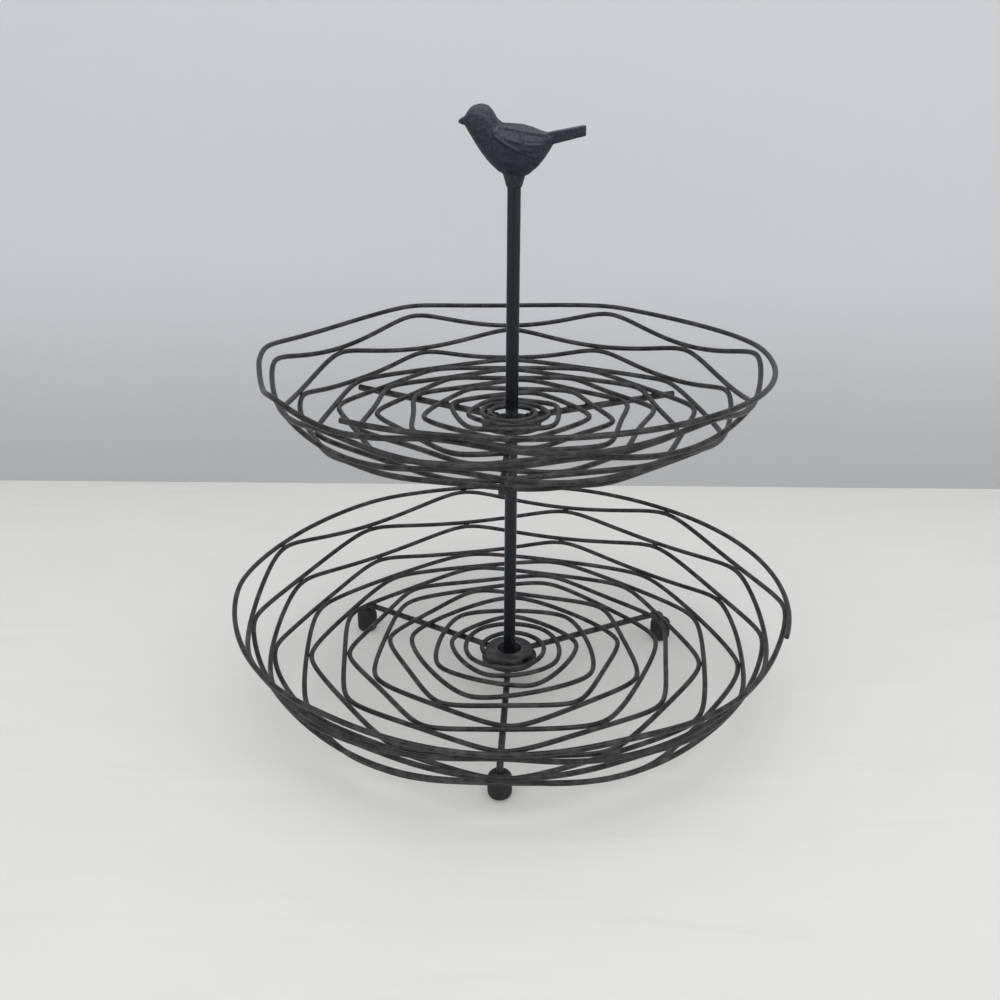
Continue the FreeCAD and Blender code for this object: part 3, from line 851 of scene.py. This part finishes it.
class BASKET_OT_tripod(bpy.types.Operator):
    """Bends the lower arms' round rods and turns their rubber feet"""
    bl_idname = "basket.tripod"
    bl_label = "Arms and feet"

    def execute(self, context):
        coat = bpy.data.materials["graphite_powder_coat"]
        rubber = rubber_material()
        for side in ARM_SIDES:
            self.finish(self.rod(side), coat, f"lower_arm_{side}", "frame")
            self.finish(self.foot(side), rubber, f"foot_{side}", "foot")
        return {"FINISHED"}

    def finish(self, piece, material, node, slot):
        """Gives a piece its material and the place of a node of the base."""
        dress(piece, material)
        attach(piece, "base")
        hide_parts(node)

    def arc(self, out, height, radius, start, end):
        """Points of a quarter circle round (out, height), between two angles."""
        steps = bpy.context.scene.basket_tripod.arc_steps
        turns = [start + (end - start) * step / steps for step in range(steps + 1)]
        return [(out + radius * math.cos(turn), height + radius * math.sin(turn)) for turn in turns]

    def rod(self, side):
        """A round rod from the hub plate to the leg's end in the foot."""
        tripod = bpy.context.scene.basket_tripod
        low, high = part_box(f"lower_arm_{side}")
        leg = sum(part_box(f"foot_{side}"), Vector()) / 2
        leg.z = 0
        axis = high.z - tripod.rod / 2
        bend = tripod.bend_radius
        route = [(tripod.inner_radius, axis)]
        route += self.arc(leg.length - bend, axis - bend, bend, math.pi / 2, 0)
        route += [(leg.length, low.z)]
        points = [leg.normalized() * radius + Vector((0, 0, height)) for radius, height in route]
        return round_wire(f"lower_rod_{side}", points, tripod.rod)

    def foot(self, side):
        """A rounded rubber foot with a blind bore, turned from its half section."""
        tripod = bpy.context.scene.basket_tripod
        low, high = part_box(f"foot_{side}")
        bore_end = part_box(f"lower_arm_{side}")[0].z
        middle = (low + high) / 2
        edge = tripod.foot_rounding
        reach = (high.x - low.x) / 2 - edge
        bore = tripod.foot_bore / 2
        section = [(0, low.z)]
        section += self.arc(reach, low.z + edge, edge, -math.pi / 2, 0)
        section += self.arc(reach, high.z - edge, edge, 0, math.pi / 2)
        section += [(bore, high.z), (bore, bore_end), (0, bore_end)]
        bm = bmesh.new()
        spots = [bm.verts.new((middle.x + out, middle.y, height)) for out, height in section]
        edges = [bm.edges.new(pair) for pair in zip(spots, spots[1:])]
        bmesh.ops.spin(bm, geom=[*spots, *edges], cent=(middle.x, middle.y, 0), axis=(0, 0, 1),
                       angle=math.tau, steps=tripod.foot_steps, use_merge=True)
        bmesh.ops.remove_doubles(bm, verts=bm.verts, dist=SPUN_MERGE)
        return mesh_object(f"rubber_foot_{side}", bm)


class BASKET_OT_frame_finish(bpy.types.Operator):
    """Coats the upper arms, plates, posts and washers, and plates the fasteners"""
    bl_idname = "basket.frame_finish"
    bl_label = "Frame finish"

    def execute(self, context):
        coat = bpy.data.materials["graphite_powder_coat"]
        finishes = {"frame": coat, "post": post_material(), "fastener": plated_material()}
        for part in frame["record"]["subparts"]:
            if part["material_slot"] in finishes:
                dress(frame["nodes"][part["node"]], finishes[part["material_slot"]])
        return {"FINISHED"}


class BASKET_OT_thread(bpy.types.Operator):
    """Cuts the thread of the stud that shows when the bird is turned and the upper post rises"""
    bl_idname = "basket.thread"
    bl_label = "Stud's thread"

    def execute(self, context):
        low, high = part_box("joining_stud")
        bm = self.long_thread(context.scene.basket_thread, low.z, high.z, (high.x - low.x) / 2)
        self.cut_off(bm, low.z, -1)
        self.cut_off(bm, high.z, 1)
        piece = mesh_object("threaded_stud", bm)
        dress(piece, bpy.data.materials["plated_steel"])
        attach(piece, "upper_post")
        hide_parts("joining_stud")
        return {"FINISHED"}

    def long_thread(self, thread, low, high, radius):
        """A zigzag section screwed up through one turn, too long at both ends."""
        bm = bmesh.new()
        halves = 2 * math.ceil((high - low) / thread.pitch + 2 * THREAD_SPARE)
        spots = []
        for half in range(halves + 1):
            height = low + thread.pitch * (half / 2 - THREAD_SPARE)
            spots.append(bm.verts.new((radius - thread.depth * (half % 2), 0, height)))
        edges = [bm.edges.new(pair) for pair in zip(spots, spots[1:])]
        bmesh.ops.spin(bm, geom=[*spots, *edges], axis=(0, 0, 1), dvec=(0, 0, thread.pitch / thread.sides),
                       angle=math.tau, steps=thread.sides)
        bmesh.ops.remove_doubles(bm, verts=bm.verts, dist=SPUN_MERGE)
        return bm

    def cut_off(self, bm, level, way):
        """Cuts off what lies past a level, upwards or downwards, and closes the end."""
        cut = bmesh.ops.bisect_plane(bm, geom=[*bm.verts, *bm.edges, *bm.faces], plane_co=(0, 0, level),
                                     plane_no=(0, 0, way), clear_outer=True)
        rim = [item for item in cut["geom_cut"] if isinstance(item, bmesh.types.BMEdge)]
        bmesh.ops.edgeloop_fill(bm, edges=rim)


class BASKET_OT_stage(bpy.types.Operator):
    """Sets the table, the wall, the soft light and the camera"""
    bl_idname = "basket.stage"
    bl_label = "Stage"

    def execute(self, context):
        self.backdrop(context)
        self.light(context)
        self.camera(context)
        context.scene.view_settings.view_transform = "Standard"
        return {"FINISHED"}

    def backdrop(self, context):
        """A wide table and a wall that stands behind it."""
        upright = Matrix.Translation((0, context.scene.basket_stage.wall_distance, 0))
        upright @= Matrix.Rotation(math.pi / 2, 4, "X")
        table = self.plane("table", Matrix(), cloth_material())
        wall = self.plane("wall", upright, wall_material())

    def plane(self, name, place, material):
        """A wide flat surface."""
        bm = bmesh.new()
        bmesh.ops.create_grid(bm, x_segments=1, y_segments=1, size=STAGE_REACH, matrix=place)
        mesh = bpy.data.meshes.new(name)
        bm.to_mesh(mesh)
        bm.free()
        piece = add_object(name, mesh)
        dress(piece, material)
        return piece

    def light(self, context):
        """A soft sky, one large lamp above the front that fills the shadows, and a window at each side."""
        stage = context.scene.basket_stage
        context.scene.world = self.sky(stage)
        fill = self.lamp("soft_lamp", stage.lamp_power, LAMP_SIZE, Vector(LAMP_PLACE))
        fill.use_shadow = False
        out = WINDOW_DISTANCE * math.sin(stage.window_angle)
        front = -WINDOW_DISTANCE * math.cos(stage.window_angle)
        for name, side in (("left_window", -1), ("right_window", 1)):
            place = Vector((side * out, front, WINDOW_HEIGHT))
            self.lamp(name, stage.window_power, WINDOW_SIZE, place, WINDOW_SPREAD)

    def sky(self, stage):
        """Even light from all round, with a darker room behind the camera."""
        world = bpy.data.worlds.new("even_light")
        world.use_nodes = True
        tree = world.node_tree
        sky = tree.nodes["Background"]
        sky.inputs["Color"].default_value = (*SKY_TINT, 1)
        back = coordinate(tree, "Generated", "Y")
        strength = remap(tree, back, ROOM_UP_TO, SKY_FROM, stage.room, stage.sky)
        tree.links.new(strength, sky.inputs["Strength"])
        return world

    def lamp(self, name, watts, size, place, spread=math.pi):
        """A soft lamp that shines on the basket and isn't seen itself."""
        light = bpy.data.lights.new(name, "AREA")
        light.shape = "RECTANGLE"
        light.energy = watts
        light.size, light.size_y = size
        light.spread = spread
        lamp = add_object(name, light)
        lamp.location = place
        lamp.visible_camera = False
        aim = Vector((0, 0, AIM_HEIGHT)) - place
        lamp.rotation_euler = aim.to_track_quat("-Z", "Y").to_euler()
        return light

    def camera(self, context):
        """The photograph's view."""
        stage = context.scene.basket_stage
        lens = bpy.data.cameras.new("photo_view")
        lens.sensor_width = FRAME_WIDTH
        lens.lens = stage.lens
        camera = add_object("photo_view", lens)
        turn = Matrix.Rotation(stage.camera_yaw, 4, "Z")
        tilt = Matrix.Rotation(math.pi / 2 - stage.camera_pitch, 4, "X")
        lean = Matrix.Rotation(stage.camera_roll, 4, "Z")
        camera.matrix_world = Matrix.Translation(stage.camera_place) @ turn @ tilt @ lean
        context.scene.camera = camera


OPERATORS = (
    BASKET_OT_bowl_wires,
    BASKET_OT_weld_beads,
    BASKET_OT_bird,
    BASKET_OT_tripod,
    BASKET_OT_frame_finish,
    BASKET_OT_thread,
    BASKET_OT_stage,
)
SETTINGS = {
    "basket_wire": WireSettings,
    "basket_lower": LowerBowl,
    "basket_upper": UpperBowl,
    "basket_bird": BirdSettings,
    "basket_tripod": TripodSettings,
    "basket_thread": ThreadSettings,
    "basket_finish": FinishSettings,
    "basket_stage": StageSettings,
}


class BASKET_PT_pieces(bpy.types.Panel):
    """Lists the pieces of the basket and their settings"""
    bl_label = "Tiered wire basket"
    bl_space_type = "VIEW_3D"
    bl_region_type = "UI"
    bl_category = "Basket"

    def draw(self, context):
        for operator in OPERATORS:
            self.layout.operator(operator.bl_idname)
        for name, group in SETTINGS.items():
            settings = getattr(context.scene, name)
            box = self.layout.box()
            for label in group.__annotations__:
                box.prop(settings, label)


CLASSES = (*SETTINGS.values(), *OPERATORS, BASKET_PT_pieces)


def register():
    """Registers the classes and the settings on the scene."""
    for item in CLASSES:
        bpy.utils.register_class(item)
    for name, group in SETTINGS.items():
        setattr(bpy.types.Scene, name, PointerProperty(type=group))


def unregister():
    """Takes the settings and the classes away again."""
    for name in SETTINGS:
        delattr(bpy.types.Scene, name)
    for item in reversed(CLASSES):
        bpy.utils.unregister_class(item)


def main():
    """Builds all the pieces."""
    register()
    bpy.ops.basket.bowl_wires()
    bpy.ops.basket.weld_beads()
    bpy.ops.basket.bird()
    bpy.ops.basket.tripod()
    bpy.ops.basket.frame_finish()
    bpy.ops.basket.thread()
    bpy.ops.basket.stage()


if __name__ == "__main__":
    main()
